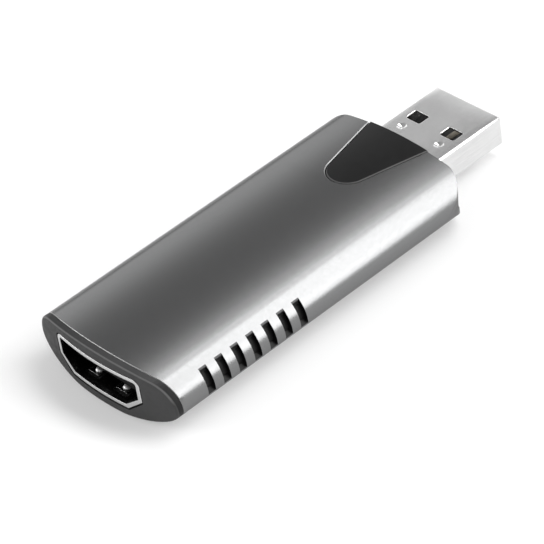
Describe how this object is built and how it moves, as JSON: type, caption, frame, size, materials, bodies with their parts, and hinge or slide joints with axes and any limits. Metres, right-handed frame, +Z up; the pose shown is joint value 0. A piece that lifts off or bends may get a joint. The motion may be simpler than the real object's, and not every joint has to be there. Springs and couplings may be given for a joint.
{
  "type": "video capture dongle",
  "caption": "Stick-shaped video capture dongle: anodised sleeve with side vents, bowed end cap with a video port, dark tongue insert and a type A plug.",
  "frame": {"origin": "middle of the part's length and width, on the flat underside", "axes": "+X along the part towards the plug's tip, +Y across it, +Z up out of the top face"},
  "size_m": [0.069, 0.0264, 0.0087],
  "materials": {
    "anodised_shell": "dark gunmetal anodised, satin with a soft gloss",
    "bezel_plastic": "moulded dark grey, fine matte texture",
    "insert_plastic": "moulded near-black, semi-gloss",
    "port_steel": "nickel-plated sheet steel, satin",
    "plug_steel": "nickel-plated sheet steel, satin",
    "port_plastic": "black glass-filled plastic",
    "plug_plastic": "black glass-filled plastic",
    "contact_gold": "gold-plated contact strip",
    "liner_plastic": "black moulded liner",
    "board_laminate": "green solder mask on laminate",
    "chip_package": "black moulded package",
    "tinned_leads": "tinned leads",
    "pad_silicone": "soft grey-blue thermal pad",
    "crystal_can": "bright metal can",
    "ferrite": "dark grey ferrite",
    "capacitor_ceramic": "tan ceramic",
    "resistor_ceramic": "black film on ceramic"
  },
  "bodies": {
    "root": {"sleeve": "anodised_shell", "front_bezel": "bezel_plastic", "rear_insert": "insert_plastic", "port_shell": "port_steel", "port_insulator": "port_plastic", "port_contacts_upper": "contact_gold", "port_contacts_lower": "contact_gold", "plug_shell": "plug_steel", "plug_insulator": "plug_plastic", "plug_contacts": "contact_gold", "inner_tray": "liner_plastic", "inner_cover": "liner_plastic", "circuit_board": "board_laminate", "capture_chip": "chip_package", "capture_chip_leads": "tinned_leads", "thermal_pad": "pad_silicone", "flash_chip": "chip_package", "flash_chip_leads": "tinned_leads", "crystal": "crystal_can", "voltage_regulators": "chip_package", "regulator_leads": "tinned_leads", "power_inductors": "ferrite", "chip_capacitors": "capacitor_ceramic", "chip_resistors": "resistor_ceramic", "esd_arrays": "chip_package"}
  },
  "joints": []
}
